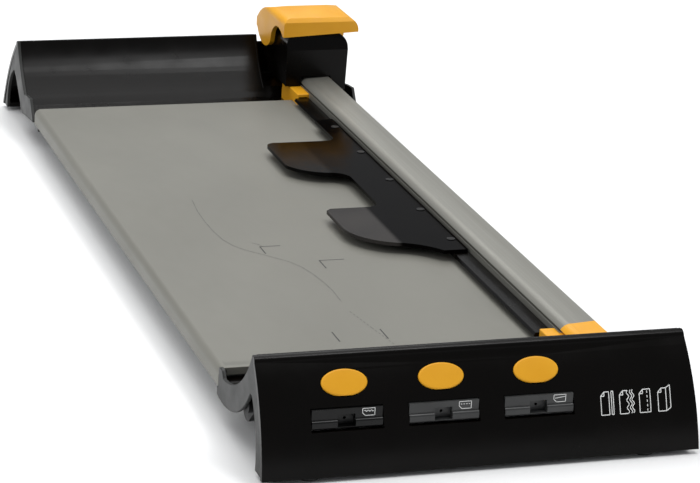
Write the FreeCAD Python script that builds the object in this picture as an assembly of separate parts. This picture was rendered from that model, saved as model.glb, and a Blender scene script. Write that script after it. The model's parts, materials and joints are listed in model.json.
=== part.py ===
import FreeCAD, Part
import math
import os
from FreeCAD import Rotation, Vector

os.makedirs("parts", exist_ok=True)

# Rotary paper trimmer.  Every solid is drawn from the board's front left corner: x to the right along
# the end caps, y from the front edge to the rear edge, z up from the board's top face.  save() then
# moves it so that the origin is the middle of the trimmer's base.

# ---- driving dimensions, mm ----
CAP_W = 216.0          # width of both end caps
BOARD_L = 458.0        # front edge to rear edge of the board
FLOOR_Z = -27.0        # what the rubber feet stand on
CAP_Z = -24.5          # lower edge of the end caps
RIDGE_Z = 28.7         # top edge of the end caps
END_T = 2.0            # thickness of the caps' end plates
SHELL = 2.8            # wall of the front and rear fascias
TRAY_T = 2.5           # wall of the sloping trays
TRAY_FLOOR = -5.2      # bottom of the trough beside the board
NEAR_WALL = 2.2        # how far the tray's near wall reaches under the board
NEAR_Z = -14.2         # lower edge of that near wall

BOARD_W = 188.8        # board, from the left bend to the cutting beam
SHEET = 1.5            # sheet metal of the board and its stiffener
BEAM_X = (189.0, 207.0)
BEAM_Z = -14.0
MAT_X = (193.0, 201.0)
MAT_DEPTH = 2.5

RAIL_X = (176.0, 194.6)
RAIL_Z = 3.0           # underside of the rail, above the paper
RAIL_TOP = 12.9
RAIL_Y = (-1.0, 480.0)
GROOVE_Z = (7.6, 9.2)
GROOVE_D = 1.6

CUT_X = 197.0          # plane of the cutting blade
BLADE_R = 13.0
BLADE_T = 0.4
CREASE_T = 0.8         # thickness of the creasing wheel
AXLE_R = 2.0
RUN = 0.05             # running clearance of the blade on its axle
GAP = 0.3              # clearance between parts that slide past each other

HEAD_X = (165.5, 206.5)
HEAD_Y = (464.0, 518.0)
HEAD_LEFT_Z = 7.4      # lower edge of the head beside the press plate
HEAD_RIGHT_Z = 4.0     # lower edge of the head beside the blade
HEAD_TOP = 41.5
HEAD_WALL = 2.0
HEAD_MID_Y = 0.5 * (HEAD_Y[0] + HEAD_Y[1]) + 1.0
BLADE_Z = BLADE_R + 3.2

BAY_X = (41.5, 89.0, 136.5)
BAY_HALF = 17.6
STORE_Y = -57.6        # blade centre of a stored cartridge
STORE_Z = -0.4
BUTTON_Z = 16.5
BUTTON_HALF = (11.25, 6.5)
BUTTON_TRAVEL = 2.0
EJECT_TRAVEL = 4.0

STRIP_X = (166.0, 175.6)
STRIP_Y = (9.0, 445.0)
STRIP_Z = (2.6, 4.6)
PLATE_T = 2.0
LOBE_X = (168.3, 176.0)
PIN_X = 172.3

# Each cap's end profile is made of arcs, given as (centre reach, centre height, radius), where reach is
# the distance out from the board's edge.
FRONT = {
    "edge": 0.0, "side": -1.0,
    "outer": (-6.5, -33.4, 90.8), "hollow": (5.0, 58.2, 60.5), "back": (25.4, -19.4, 44.3),
    "seam": 58.8, "mid_hollow_z": 8.0, "trough": 14.0, "leg": 69.6, "hollow_end": 13.0, "apex_z": 8.8,
    "arm": (
        (9.0, -2.2), (6.2, 1.1), (3.4, 1.6), (0.1, 0.6), (0.1, -9.8), (-NEAR_WALL, -9.8),
        (-NEAR_WALL, NEAR_Z), ((31.0, -10.7), (56.6, 8.8))),
}
REAR = {
    "edge": BOARD_L, "side": 1.0,
    "outer": (-16.0, -78.1, 131.0), "hollow": (-7.6, 59.7, 72.9), "back": (58.7, -24.3, 32.9),
    "seam": 59.2, "mid_hollow_z": 8.0, "trough": 31.0, "leg": 91.6, "hollow_end": 34.0, "apex_z": 7.1,
    "arm": (
        (30.0, 0.9), (15.3, 2.4), (5.7, -10.4), (40.0, -14.1), ((45.4, -13.2), (47.6, -9.4)), (62.5, 3.4)),
}


# ---- drawing helpers ----
def reach_at(arc, z, grow=0.0):
    """How far out an arc of the cap profile is at height z, with its radius grown."""
    centre, height, radius = arc
    return centre + math.sqrt((radius + grow) ** 2 - (z - height) ** 2)


def height_at(arc, reach, side, grow=0.0):
    """Height of an arc at a reach: side is +1 for its upper half and -1 for its lower half."""
    centre, height, radius = arc
    return height + side * math.sqrt((radius + grow) ** 2 - (reach - centre) ** 2)


MIDDLE_X = 108.8
FRONT_REACH = reach_at(FRONT["outer"], CAP_Z)
REAR_REACH = reach_at(REAR["outer"], CAP_Z)
ORIGIN = Vector(MIDDLE_X, 0.5 * (BOARD_L + REAR_REACH - FRONT_REACH), FLOOR_Z)


def save(name, *solids):
    """Move the solids to the base's middle and write them as one node."""
    moved = []
    for solid in solids:
        piece = solid.copy()
        piece.translate(-ORIGIN)
        moved.append(piece)
    shape = moved[0] if len(moved) == 1 else Part.makeCompound(moved)
    shape.exportStep(os.path.join("parts", name + ".step"))


def box(x, y, z):
    """Block between pairs of limits, given in either order."""
    low = Vector(min(x), min(y), min(z))
    high = Vector(max(x), max(y), max(z))
    size = high - low
    return Part.makeBox(size.x, size.y, size.z, low)


def rod(base, axis, radius, length):
    return Part.makeCylinder(radius, length, Vector(*base), Vector(*axis))


def outline(place, start, steps):
    """Closed face: a step is a corner, or a pair of points that an arc passes and ends at."""
    edges = []
    here = place(*start)
    for step in steps:
        if isinstance(step[0], tuple):
            middle = place(*step[0])
            there = place(*step[1])
            edges.append(Part.Arc(here, middle, there).toShape())
        else:
            there = place(*step)
            edges.append(Part.makeLine(here, there))
        here = there
    first = place(*start)
    if (here - first).Length > 1e-6:
        edges.append(Part.makeLine(here, first))
    return Part.Face(Part.Wire(edges))


def along_x(x0, x1, start, *steps):
    """Outline in (y, z), carried from x0 to x1."""
    face = outline(lambda y, z: Vector(x0, y, z), start, steps)
    return face.extrude(Vector(x1 - x0, 0, 0))


def along_y(y0, y1, start, *steps):
    """Outline in (x, z), carried from y0 to y1."""
    face = outline(lambda x, z: Vector(x, y0, z), start, steps)
    return face.extrude(Vector(0, y1 - y0, 0))


def along_z(z0, z1, start, *steps):
    """Outline in (x, y), carried from z0 to z1."""
    face = outline(lambda x, y: Vector(x, y, z0), start, steps)
    return face.extrude(Vector(0, 0, z1 - z0))


def cap_slice(cap, x0, x1, start, *steps):
    """Outline in (reach, z) of one end cap, carried from x0 to x1."""
    face = outline(lambda reach, z: Vector(x0, cap["edge"] + cap["side"] * reach, z), start, steps)
    return face.extrude(Vector(x1 - x0, 0, 0))


def cap_box(cap, x, reach, z):
    return box(x, [cap["edge"] + cap["side"] * r for r in reach], z)


def edges_near(solid, test):
    """Edges whose middle passes a test on (x, y, z)."""
    found = []
    for edge in solid.Edges:
        middle = edge.valueAt(0.5 * (edge.FirstParameter + edge.LastParameter))
        if test(middle.x, middle.y, middle.z):
            found.append(edge)
    return found


def coil(x, y, z0, z1, radius, wire, turns):
    """Compression spring standing on z0."""
    pitch = (z1 - z0 - 2 * wire) / turns
    helix = Part.makeHelix(pitch, pitch * turns, radius)
    section = Part.Wire([Part.makeCircle(wire, Vector(radius, 0, 0), Vector(0, 1, 0))])
    spring = Part.Wire(helix.Edges).makePipeShell([section], True, True)
    spring.translate(Vector(x, y, z0 + wire))
    return spring


def screw(base, axis, shank_r, length, head_r, head_h):
    """Pan-head screw: base is under the head and the shank runs along axis."""
    way = Vector(*axis)
    shank = Part.makeCylinder(shank_r, length, Vector(*base), way)
    head = Part.makeCylinder(head_r, head_h, Vector(*base) - way * head_h, way)
    cross = Part.makeBox(head_r, 0.25 * head_r, 0.5 * head_h, Vector(-0.5 * head_r, -0.125 * head_r, 0))
    other = cross.copy()
    other.rotate(Vector(0, 0, 0), Vector(0, 0, 1), 90)
    slots = cross.fuse(other)
    slots.Placement = FreeCAD.Placement(Vector(*base) - way * head_h, Rotation(Vector(0, 0, 1), way))
    return shank.fuse(head).cut(slots)


# ---- board and its frame ----
def base_board():
    """Folded sheet: a soft bend down the left side, lips at both ends, a flange beside the beam."""
    bend = 4.0
    flange_z = -9.5
    inner = bend - SHEET
    corner = math.sqrt(0.5)
    sheet = along_y(
        0.0, BOARD_L, (0.0, flange_z), (0.0, -bend),
        ((bend - bend * corner, -bend + bend * corner), (bend, 0.0)),
        (BOARD_W, 0.0), (BOARD_W, -5.0), (BOARD_W - SHEET, -5.0), (BOARD_W - SHEET, -SHEET),
        (bend, -SHEET), ((bend - inner * corner, -bend + inner * corner), (SHEET, -bend)),
        (SHEET, flange_z))
    lip_z = -4.0
    for y in (0.0, BOARD_L - SHEET):
        sheet = sheet.fuse(box((bend, BOARD_W - SHEET), (y, y + SHEET), (lip_z, -0.5 * SHEET)))
    return sheet.removeSplitter()


STIFFENER_X = (4.2, 19.4)
BEAM_Y = (NEAR_WALL, BOARD_L - NEAR_WALL)
SCREW_R = 1.45
SCREW_HOLE = 1.5
BEAM_BOSSES = (193.2, 202.8)
BOSS_Z = -10.4


def left_stiffener():
    """Folded channel under the left side, with a tab at each end for the cap's screw."""
    low = -13.5
    x0, x1 = STIFFENER_X
    top = -SHEET - 0.1
    body = box(STIFFENER_X, BEAM_Y, (low, top))
    body = body.cut(box((x0 + SHEET, x1 + 1), (BEAM_Y[0] + SHEET, BEAM_Y[1] - SHEET), (low + SHEET, top - SHEET)))
    middle = 0.5 * (x0 + x1)
    return body.cut(rod((middle, BEAM_Y[0] - 1, BOSS_Z), (0, 1, 0), SCREW_HOLE, BOARD_L))


def cross_braces():
    """Three channels across the board, from the stiffener to the board's right flange."""
    width, depth, wall = 24.0, 8.0, 1.2
    top = -SHEET - 0.1
    braces = []
    for share in (0.22, 0.5, 0.78):
        y = share * BOARD_L
        x = (STIFFENER_X[1], BOARD_W - SHEET - 0.1)
        outer = box(x, (y - 0.5 * width, y + 0.5 * width), (top - depth, top))
        inner = box((x[0] - 1, x[1] + 1), (y - 0.5 * width + wall, y + 0.5 * width - wall), (top - depth - 1, top - wall))
        braces.append(outer.cut(inner))
    return braces


def cutting_beam():
    """Extrusion under the cut: a groove for the mat, two chambers and two screw ports."""
    wall = 1.8
    x0, x1 = BEAM_X
    body = box(BEAM_X, BEAM_Y, (BEAM_Z, 0.0))
    body = body.cut(box(MAT_X, (BEAM_Y[0] - 1, BEAM_Y[1] + 1), (-MAT_DEPTH, 1.0)))
    middle = 0.5 * (x0 + x1)
    long_y = (BEAM_Y[0] - 1, BEAM_Y[1] + 1)
    for x in ((x0 + wall, middle - 0.5 * wall), (middle + 0.5 * wall, x1 - wall)):
        body = body.cut(box(x, long_y, (BEAM_Z + wall, -MAT_DEPTH - wall)))
    for x in BEAM_BOSSES:
        body = body.fuse(rod((x, BEAM_Y[0], BOSS_Z), (0, 1, 0), 3.2, BEAM_Y[1] - BEAM_Y[0]))
        body = body.cut(rod((x, BEAM_Y[0] - 1, BOSS_Z), (0, 1, 0), SCREW_HOLE, BOARD_L))
    return body.removeSplitter()


def cutting_mat():
    """Soft plastic strip that the blade runs on; it passes both ends of the board."""
    over = 12.0
    side = 0.05
    return box((MAT_X[0] + side, MAT_X[1] - side), (-over, BOARD_L + over), (-MAT_DEPTH, -0.1))


def beam_screws():
    """Screws through each tray's near wall into the beam's ports and the stiffener's tab."""
    screws = []
    xs = BEAM_BOSSES + (0.5 * (STIFFENER_X[0] + STIFFENER_X[1]),)
    for x in xs:
        screws.append(screw((x, -GAP, BOSS_Z), (0, 1, 0), SCREW_R, 14.0, 2.6, 1.7))
        screws.append(screw((x, BOARD_L + GAP, BOSS_Z), (0, -1, 0), SCREW_R, 14.0, 2.6, 1.7))
    return screws


# ---- end caps ----
RIGHT_PLATE = CAP_W - END_T - 1.0
INNER_X = (END_T, RIGHT_PLATE)
END_LEFT = (0.0, -0.6)             # x of the fascia's left end at the ridge and at its foot
END_RIGHT = (CAP_W - 1.0, CAP_W + 2.2)
BROW = 2.7                         # height of the rounding along the ridge
POCKET_X = (158.0, RIGHT_PLATE)
POCKET_REACH = (33.0, 70.5)
POCKET_FLOOR = -1.7
LINER = 1.5


def end_plate(cap, x0):
    """End plate behind the fascia: a front leg, the hollow of the tray and an arm to the board."""
    outer, hollow, back, seam = cap["outer"], cap["hollow"], cap["back"], cap["seam"]
    end = cap["hollow_end"]
    return cap_slice(
        cap, x0, x0 + END_T, (reach_at(outer, CAP_Z, -SHELL), CAP_Z),
        ((reach_at(outer, 4.8, -SHELL), 4.8), (seam, height_at(outer, seam, 1, -SHELL))),
        (seam, RIDGE_Z), (reach_at(hollow, RIDGE_Z), RIDGE_Z),
        ((reach_at(hollow, cap["mid_hollow_z"]), cap["mid_hollow_z"]), (end, height_at(hollow, end, -1))),
        *cap["arm"], (reach_at(back, cap["apex_z"]), cap["apex_z"]),
        ((reach_at(back, -8.0), -8.0), (reach_at(back, CAP_Z), CAP_Z)))


def cap_tray(cap):
    """Sloping shell from the ridge down to the trough, with the near wall that the board rests on."""
    hollow = cap["hollow"]
    seam = cap["seam"]
    trough = cap["trough"]
    z_in = height_at(hollow, trough, -1)
    z_out = height_at(hollow, trough + 1.5, -1, TRAY_T)
    low = TRAY_FLOOR - TRAY_T
    return cap_slice(
        cap, INNER_X[0], INNER_X[1], (seam - 0.05, RIDGE_Z), (reach_at(hollow, RIDGE_Z), RIDGE_Z),
        ((reach_at(hollow, cap["mid_hollow_z"]), cap["mid_hollow_z"]), (trough, z_in)),
        (trough - 4.0, TRAY_FLOOR), (-NEAR_WALL, TRAY_FLOOR), (-NEAR_WALL, NEAR_Z),
        (GAP, NEAR_Z), (GAP, low), (trough - 2.8, low), (trough + 1.5, z_out),
        ((reach_at(hollow, cap["mid_hollow_z"], TRAY_T), cap["mid_hollow_z"]),
         (seam - 0.05, height_at(hollow, seam - 0.05, -1, TRAY_T))))


def cap_fascia(cap):
    """Outer shell with the ridge's rounded outer half, slightly flared ends and a flange for the feet."""
    outer = cap["outer"]
    seam = cap["seam"] + 0.05
    flange_top = CAP_Z + 3.0
    leg = cap["leg"]
    brow = reach_at(outer, RIDGE_Z - BROW)
    crest = reach_at(outer, RIDGE_Z)
    shell = cap_slice(
        cap, -5.0, CAP_W + 5.0, (reach_at(outer, CAP_Z), CAP_Z),
        ((reach_at(outer, 0.0), 0.0), (brow, RIDGE_Z - BROW)),
        ((0.6 * brow + 0.4 * crest, RIDGE_Z - 0.3 * BROW), (0.5 * (crest + seam), RIDGE_Z)),
        (seam, RIDGE_Z), (seam, height_at(outer, seam, 1, -SHELL)),
        ((reach_at(outer, 4.8, -SHELL), 4.8), (reach_at(outer, CAP_Z, -SHELL), CAP_Z)))
    low, high = CAP_Z - 1.0, RIDGE_Z + 1.0
    y = (-200.0, BOARD_L + 200.0)
    for top_x, foot_x, far_x in (END_LEFT + (-20.0,), END_RIGHT + (CAP_W + 20.0,)):
        shell = shell.cut(along_y(y[0], y[1], (top_x, high), (far_x, high), (far_x, low), (foot_x, low)))
    flange = cap_slice(
        cap, INNER_X[0], INNER_X[1], (reach_at(outer, CAP_Z, -1.0), CAP_Z),
        (reach_at(outer, flange_top, -1.0), flange_top), (leg, flange_top), (leg, CAP_Z))
    shell = shell.fuse(flange)
    for x in (12.0, 65.25, 112.75, 160.0, 204.0):
        rib = cap_slice(
            cap, x - 1.0, x + 1.0, (leg + 1.0, flange_top - 0.5),
            (reach_at(outer, flange_top, -1.0), flange_top - 0.5),
            (reach_at(outer, -8.0, -1.0), -8.0), (reach_at(outer, -8.0, -SHELL - 1.0), -8.0))
        shell = shell.fuse(rib)
    return shell.removeSplitter()


def cap_envelope(cap, x0, x1):
    """Everything under the tray and behind the fascia."""
    outer, hollow = cap["outer"], cap["hollow"]
    trough = cap["trough"]
    return cap_slice(
        cap, x0, x1, (reach_at(outer, CAP_Z), CAP_Z),
        ((reach_at(outer, 4.8), 4.8), (reach_at(outer, RIDGE_Z), RIDGE_Z)),
        (reach_at(hollow, RIDGE_Z), RIDGE_Z),
        ((reach_at(hollow, cap["mid_hollow_z"]), cap["mid_hollow_z"]), (trough, height_at(hollow, trough, -1))),
        (trough, CAP_Z))


def pocket_space(margin):
    """Block of the rear cap that the parked head's pocket takes, grown by a margin."""
    return cap_box(REAR, (POCKET_X[0] - margin, POCKET_X[1] + 1), (POCKET_REACH[0] - margin, POCKET_REACH[1] + margin),
                   (POCKET_FLOOR - margin, 40.0))


def parking_pocket():
    """Moulded liner of the pocket that the head is parked in: floor, back wall and left wall."""
    block = cap_box(REAR, POCKET_X, POCKET_REACH, (POCKET_FLOOR, 40.0)).common(cap_envelope(REAR, *POCKET_X))
    space = cap_box(REAR, (POCKET_X[0] + LINER, POCKET_X[1] + 1), (POCKET_REACH[0] - 9, POCKET_REACH[1] - LINER),
                    (POCKET_FLOOR + LINER, 50.0))
    liner = block.cut(space)
    return max(liner.Solids, key=lambda solid: solid.Volume)


def foot_centres():
    """Where the four feet are, under the caps' flanges."""
    centres = []
    for cap in (FRONT, REAR):
        reach = 0.5 * (cap["leg"] + reach_at(cap["outer"], CAP_Z))
        for x in (24.0, CAP_W - 24.0):
            centres.append((x, cap["edge"] + cap["side"] * reach))
    return centres


def rubber_feet():
    """Round rubber feet with a peg pushed up through the flange."""
    feet = []
    for x, y in foot_centres():
        pad = rod((x, y, FLOOR_Z), (0, 0, 1), 5.2, CAP_Z - FLOOR_Z)
        pad = pad.makeChamfer(0.6, edges_near(pad, lambda px, py, pz: pz < FLOOR_Z + 0.1))
        peg = rod((x, y, CAP_Z), (0, 0, 1), 1.9, 4.4)
        feet.append(pad.fuse(peg))
    return feet


def with_foot_holes(fascia):
    for x, y in foot_centres():
        fascia = fascia.cut(rod((x, y, CAP_Z - 1), (0, 0, 1), 2.0, 6.0))
    return fascia


# ---- release buttons, bays and cartridges ----
OUTER = FRONT["outer"]
BUTTON_REACH = reach_at(OUTER, BUTTON_Z)
BUTTON_OUT = Vector(0, -(BUTTON_REACH - OUTER[0]) / OUTER[2], (BUTTON_Z - OUTER[1]) / OUTER[2])
BUTTON_TILT = math.degrees(math.atan2(-BUTTON_OUT.y, BUTTON_OUT.z))


def oval(x, half_x, half_t, low, high):
    """Oval prism square to the fascia at a button, between two depths from its face."""
    ring = Part.Ellipse(Vector(0, 0, low), half_x, half_t)
    solid = Part.Face(Part.Wire([ring.toShape()])).extrude(Vector(0, 0, high - low))
    return at_button(x, solid)


def at_button(x, solid):
    """Turn a shape drawn about +Z so that it points out of the fascia at a button."""
    placed = solid.copy()
    placed.rotate(Vector(0, 0, 0), Vector(1, 0, 0), BUTTON_TILT)
    placed.translate(Vector(x, -BUTTON_REACH, BUTTON_Z))
    return placed


RAMP_TAN = -BUTTON_OUT.z / (BUTTON_OUT.y - EJECT_TRAVEL / BUTTON_TRAVEL)
RAMP_Y = -60.0
RAMP_Z = 8.6


def ramp_z(y, lift=0.0):
    """Height of the ejector's ramp, which the button's foot slides down."""
    return RAMP_Z + lift - RAMP_TAN * (y - RAMP_Y)


def release_button(x):
    """Oval button: a domed cap, a flange behind the fascia and a stem with a sloping foot."""
    half_x, half_t = BUTTON_HALF
    proud = 0.9
    body = oval(x, half_x, half_t, -5.0, proud)
    rim = edges_near(body, lambda px, py, pz: (Vector(0, py + BUTTON_REACH, pz - BUTTON_Z)).dot(BUTTON_OUT) > proud - 0.05)
    body = body.makeFillet(0.8, rim)
    body = body.fuse(oval(x, half_x + 1.4, half_t + 1.4, -5.0, -3.7))
    stem = at_button(x, rod((0, 0, -13.0), (0, 0, 1), 2.4, 8.5))
    foot_low = along_x(x - 5, x + 5, (-80.0, -10.0), (-40.0, -10.0), (-40.0, ramp_z(-40.0, GAP)), (-80.0, ramp_z(-80.0, GAP)))
    return body.fuse(stem).cut(foot_low).removeSplitter()


def ejector_sled(x):
    """Sliding pusher behind a stored cartridge: a back wall, a roof plate and the button's ramp."""
    half = 15.6
    back_y = (-45.8, -44.0)
    roof_z = (6.7, 7.6)
    sled = box((x - half, x + half), back_y, (-3.4, roof_z[1]))
    sled = sled.fuse(box((x - half, x + half), (-56.0, back_y[1]), roof_z))
    wedge = along_x(x - 4.0, x + 4.0, (-64.5, roof_z[0]), (-64.5, ramp_z(-64.5)), (-55.4, ramp_z(-55.4)), (-50.0, roof_z[0]))
    sled = sled.fuse(wedge)
    slot = box((x - 9.0, x + 9.0), (back_y[0] - 1, back_y[1] + 1), (STORE_Z - 0.9, STORE_Z + 0.9))
    return sled.cut(slot).removeSplitter()


# A cartridge is drawn with its blade's centre at the origin: u towards the grip, v across, w along the
# axle.  Stored, u is -Y, v is +X and w is +Z; in the head, u is +Z, v is +Y and w is +X.
SIDE_W = (-1.8, 5.6)
GRIP_W = (-2.9, 6.7)
BODY_U = (-11.5, 13.0)
GRIP_U = (13.0, 19.0)
CART_HALF = 17.2


def cart_box(u, v, w):
    return box(v, [-value for value in u], w)


def cartridge_housing():
    """Flat housing with a slot for the blade, a grip end, its square socket and a finger ledge."""
    body = cart_box(BODY_U, (-CART_HALF, CART_HALF), SIDE_W)
    body = body.makeFillet(2.0, edges_near(body, lambda x, y, z: y > -BODY_U[0] - 0.1 and abs(abs(x) - CART_HALF) < 0.1))
    grip = cart_box(GRIP_U, (-CART_HALF, CART_HALF), (GRIP_W[0] + 4.6, GRIP_W[1]))
    ledge = cart_box((GRIP_U[0], GRIP_U[1] + 1.4), (-CART_HALF, CART_HALF), (GRIP_W[0], GRIP_W[0] + 4.6))
    ledge = ledge.makeFillet(1.3, edges_near(ledge, lambda x, y, z: y < -GRIP_U[1] - 1.3 and abs(x) < 1))
    whole = body.fuse(grip).fuse(ledge)
    whole = whole.cut(cart_box((GRIP_U[0] + 3.0, GRIP_U[1] + 3.0), (-4.8, 4.0), (GRIP_W[0] + 1.2, GRIP_W[0] + 6.9)))
    whole = whole.cut(rod((-0.4, -GRIP_U[0] - 3.5, GRIP_W[0] + 4.0), (0, 1, 0), 0.7, 3.0))
    room = 0.9
    whole = whole.cut(rod((0, 0, -room), (0, 0, 1), BLADE_R + 0.8, 2 * room))
    for w in ((-1.4, -room), (room, 4.6)):
        whole = whole.cut(rod((0, 0, w[0]), (0, 0, 1), AXLE_R + RUN, w[1] - w[0]))
    return whole.removeSplitter()


def blade_axle(thickness=BLADE_T):
    """Pin that the blade turns on, with a collar beside the blade."""
    pin = rod((0, 0, -1.35), (0, 0, 1), AXLE_R, 5.9)
    collar = rod((0, 0, 0.5 * thickness + 0.1), (0, 0, 1), 3.6, 0.35)
    return pin.fuse(collar)


def disc(radius, thickness):
    blank = rod((0, 0, -0.5 * thickness), (0, 0, 1), radius, thickness)
    return blank.cut(rod((0, 0, -1), (0, 0, 1), AXLE_R + RUN, 2))


def straight_blade():
    """Plain round blade, ground from both faces to its edge."""
    blade = disc(BLADE_R, BLADE_T)
    rim = edges_near(blade, lambda x, y, z: math.hypot(x, y) > BLADE_R - 0.1)
    return blade.makeChamfer(0.15, [edge for edge in rim if edge.Length > BLADE_R])


def wave_blade():
    """Blade whose edge is waved in and out."""
    waves = 14
    points = []
    steps = 6 * waves
    for step in range(steps):
        turn = 2 * math.pi * step / steps
        radius = BLADE_R - 0.7 + 0.7 * math.cos(waves * turn)
        points.append(Vector(radius * math.cos(turn), radius * math.sin(turn), -0.5 * BLADE_T))
    rim = Part.BSplineCurve()
    rim.interpolate(points, True)
    blank = Part.Face(Part.Wire([rim.toShape()])).extrude(Vector(0, 0, BLADE_T))
    return blank.cut(rod((0, 0, -1), (0, 0, 1), AXLE_R + RUN, 2))


def perforating_blade():
    """Blade with square notches round its edge."""
    blade = disc(BLADE_R, BLADE_T)
    notches = 24
    for index in range(notches):
        notch = Part.makeBox(1.4, 1.2, 2.0, Vector(BLADE_R - 1.0, -0.6, -1.0))
        notch.rotate(Vector(0, 0, 0), Vector(0, 0, 1), 360.0 * index / notches)
        blade = blade.cut(notch)
    return blade


def creasing_wheel():
    """Thicker wheel with a rounded edge that presses a fold line."""
    wheel = disc(BLADE_R, CREASE_T)
    rim = edges_near(wheel, lambda x, y, z: math.hypot(x, y) > BLADE_R - 0.1)
    return wheel.makeFillet(0.3, [edge for edge in rim if edge.Length > BLADE_R])


def stored(solid, x):
    """Put a cartridge piece in the bay at x."""
    placed = solid.copy()
    placed.translate(Vector(x, STORE_Y, STORE_Z))
    return placed


def in_head(solid):
    """Put a cartridge piece in the head: u up, v to the rear, w to the right."""
    turn = FreeCAD.Matrix(0, 0, 1, CUT_X, 1, 0, 0, HEAD_MID_Y, 0, -1, 0, BLADE_Z, 0, 0, 0, 1)
    return solid.transformed(turn, True)


def cartridge_dock():
    """Moulded rack across the front cap: three bays, a round boss to the left plate and an arm."""
    x0 = BAY_X[0] - BAY_HALF - 2.2
    x1 = BAY_X[-1] + BAY_HALF + 2.2
    rack = box((x0, x1), (-71.0, -42.4), (-5.4, 6.0))
    for x in BAY_X:
        rack = rack.cut(box((x - BAY_HALF, x + BAY_HALF), (-90.0, -40.0), (-3.9, 10.0)))
    boss = rod((END_T, -45.0, -1.0), (1, 0, 0), 4.2, x0 - END_T)
    boss = boss.fuse(rod((5.5, -33.0, -7.6), (1, 0, 0), 6.9, 7.0))
    boss = boss.fuse(along_x(5.5, 12.5, (-47.0, -4.5), (-36.0, -13.8), (-29.0, -2.0), (-43.0, 3.0)))
    arm = rod((x1, -50.0, -1.0), (1, 0, 0), 4.2, RIGHT_PLATE - x1)
    keel = along_x(x0, x1, (-53.0, -5.3), (-38.0 - 4.4, -5.3), (-38.0 - 4.4, -6.0), ((-45.0, -9.0), (-53.0, -6.0)))
    return rack.fuse(boss).fuse(arm).fuse(keel).removeSplitter()


def front_fascia():
    """Front shell, with an oval opening and a cartridge mouth for each bay."""
    half_x, half_t = BUTTON_HALF
    shell = cap_fascia(FRONT)
    for x in BAY_X:
        shell = shell.cut(oval(x, half_x + GAP, half_t + GAP, -SHELL - 4.0, 4.0))
        mouth = box((x - BAY_HALF, x + BAY_HALF), (-90.0, -71.0), (STORE_Z + GRIP_W[0] - 0.4, STORE_Z + GRIP_W[1] + 0.4))
        shell = shell.cut(mouth)
    return with_foot_holes(shell)


# ---- rail, its brackets and the paper clamp ----
def rail_slice(y0, y1):
    """The rail's outside: a rounded left shoulder, a top that rises to the right, a groove each side."""
    x0, x1 = RAIL_X
    g0, g1 = GROOVE_Z
    return along_y(
        y0, y1, (x0 + 1.2, RAIL_Z), (x1 - 1.2, RAIL_Z), (x1, RAIL_Z + 1.2), (x1, g0), (x1 - GROOVE_D, g0),
        (x1 - GROOVE_D, g1), (x1, g1), (x1, RAIL_TOP - 0.6),
        ((x1 - 0.18, RAIL_TOP - 0.18), (x1 - 0.6, RAIL_TOP)), (x0 + 6.0, RAIL_TOP - 0.8),
        ((x0 + 1.9, RAIL_TOP - 1.8), (x0, g1)), (x0 + GROOVE_D, g1), (x0 + GROOVE_D, g0), (x0, g0),
        (x0, RAIL_Z + 1.2))


RAIL_PORT = (0.5 * (RAIL_X[0] + RAIL_X[1]), 7.4)
PIN_L = 11.4
BRACKET_SCREW_X = (180.4, 188.6)
BRACKET_SCREW_REACH = 6.0


def guide_rail():
    """Aluminium extrusion with two chambers and a screw port on its centre line."""
    port_x, port_z = RAIL_PORT
    rail = rail_slice(*RAIL_Y)
    for x in ((RAIL_X[0] + 3.4, port_x - 2.4), (port_x + 2.4, RAIL_X[1] - 3.4)):
        rail = rail.cut(box(x, (RAIL_Y[0] - 1, RAIL_Y[1] + 1), (RAIL_Z + 1.6, 10.4)))
    return rail.cut(rod((port_x, RAIL_Y[0] - 1, port_z), (0, 1, 0), SCREW_HOLE, BOARD_L + 40))


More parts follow.
